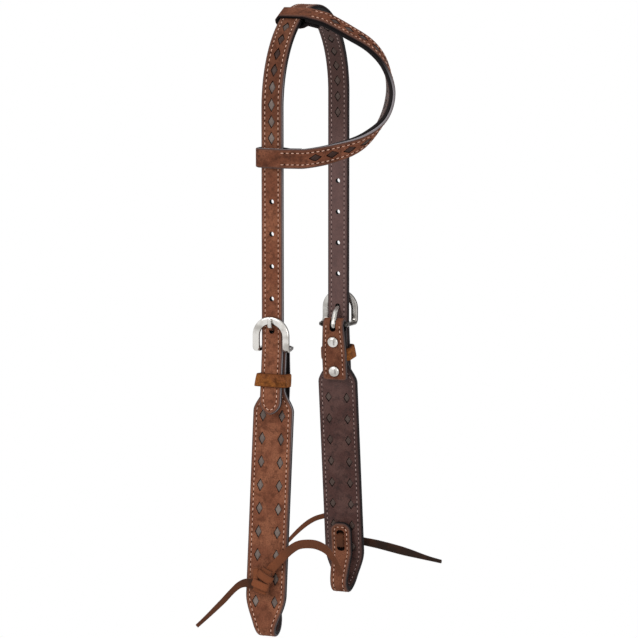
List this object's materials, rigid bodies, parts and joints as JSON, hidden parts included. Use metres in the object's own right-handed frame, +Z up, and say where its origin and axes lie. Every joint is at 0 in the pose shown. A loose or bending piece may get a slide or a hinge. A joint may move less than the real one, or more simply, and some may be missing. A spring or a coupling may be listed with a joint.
{
  "type": "western headstall",
  "caption": "Slip-ear western headstall: a two-ply leather crown with an ear loop, buckled to laced cheek straps that fold round the bit and close with knotted thongs.",
  "frame": {"origin": "underside of the crown strap's liner at the poll, in the middle of its width", "axes": "+Z up, +X to the horse's front, -Y to the horse's right side, where the ear loop is"},
  "size_m": [0.1461, 0.1988, 0.4839],
  "materials": {
    "outer_leather": "rough nap",
    "liner_leather": "smooth",
    "lace": "smooth",
    "keeper_leather": "smooth",
    "tie_leather": "soft",
    "nickel": "polished"
  },
  "bodies": {
    "crown": {"crown_strap": "outer_leather", "crown_liner": "liner_leather", "right_crown_lace": "lace", "left_crown_lace": "lace"},
    "ear": {"ear_strap": "outer_leather", "ear_liner": "liner_leather", "ear_lace": "lace"},
    "right_cheek": {"right_cheek_strap": "outer_leather", "right_cheek_liner": "liner_leather", "right_cheek_front_lace": "lace", "right_cheek_back_lace": "lace", "right_billet": "outer_leather", "right_billet_liner": "liner_leather", "right_upper_post": "nickel", "right_upper_screw": "nickel", "right_lower_post": "nickel", "right_lower_screw": "nickel", "right_tie": "tie_leather", "right_tie_front_tail": "tie_leather", "right_tie_back_tail": "tie_leather"},
    "right_keeper": {"right_keeper": "keeper_leather"},
    "right_buckle": {"right_buckle": "nickel"},
    "right_tongue": {"right_tongue": "nickel"},
    "left_cheek": {"left_cheek_strap": "outer_leather", "left_cheek_liner": "liner_leather", "left_cheek_front_lace": "lace", "left_cheek_back_lace": "lace", "left_billet": "outer_leather", "left_billet_liner": "liner_leather", "left_upper_post": "nickel", "left_upper_screw": "nickel", "left_lower_post": "nickel", "left_lower_screw": "nickel", "left_tie": "tie_leather", "left_tie_front_tail": "tie_leather", "left_tie_back_tail": "tie_leather"},
    "left_keeper": {"left_keeper": "keeper_leather"},
    "left_buckle": {"left_buckle": "nickel"},
    "left_tongue": {"left_tongue": "nickel"}
  },
  "joints": [
    {"name": "ear_slip", "type": "hinge", "parent": "crown", "child": "ear", "pos_m": [0, 0.01533, -0.107], "axis": [1, 0, 0], "range_deg": [-3, 0.3]},
    {"name": "right_cheek_swing", "type": "hinge", "parent": "crown", "child": "right_cheek", "pos_m": [0, -0.0629, -0.2555], "axis": [-1, 0, 0], "range_deg": [-8, 8]},
    {"name": "right_keeper_slide", "type": "slide", "parent": "right_cheek", "child": "right_keeper", "axis": [0, 0.1149, 0.9934], "range_m": [-0.005, 0.001]},
    {"name": "right_buckle_tilt", "type": "hinge", "parent": "crown", "child": "right_buckle", "pos_m": [0, -0.0629, -0.2555], "axis": [1, 0, 0], "range_deg": [0, 4]},
    {"name": "right_tongue_lift", "type": "hinge", "parent": "right_buckle", "child": "right_tongue", "pos_m": [0, -0.0629, -0.2555], "axis": [1, 0, 0], "range_deg": [0, 6]},
    {"name": "left_cheek_swing", "type": "hinge", "parent": "crown", "child": "left_cheek", "pos_m": [0, 0.0629, -0.2555], "axis": [1, 0, 0], "range_deg": [-8, 8]},
    {"name": "left_keeper_slide", "type": "slide", "parent": "left_cheek", "child": "left_keeper", "axis": [0, -0.1149, 0.9934], "range_m": [-0.005, 0.001]},
    {"name": "left_buckle_tilt", "type": "hinge", "parent": "crown", "child": "left_buckle", "pos_m": [0, 0.0629, -0.2555], "axis": [-1, 0, 0], "range_deg": [0, 4]},
    {"name": "left_tongue_lift", "type": "hinge", "parent": "left_buckle", "child": "left_tongue", "pos_m": [0, 0.0629, -0.2555], "axis": [-1, 0, 0], "range_deg": [0, 6]}
  ]
}
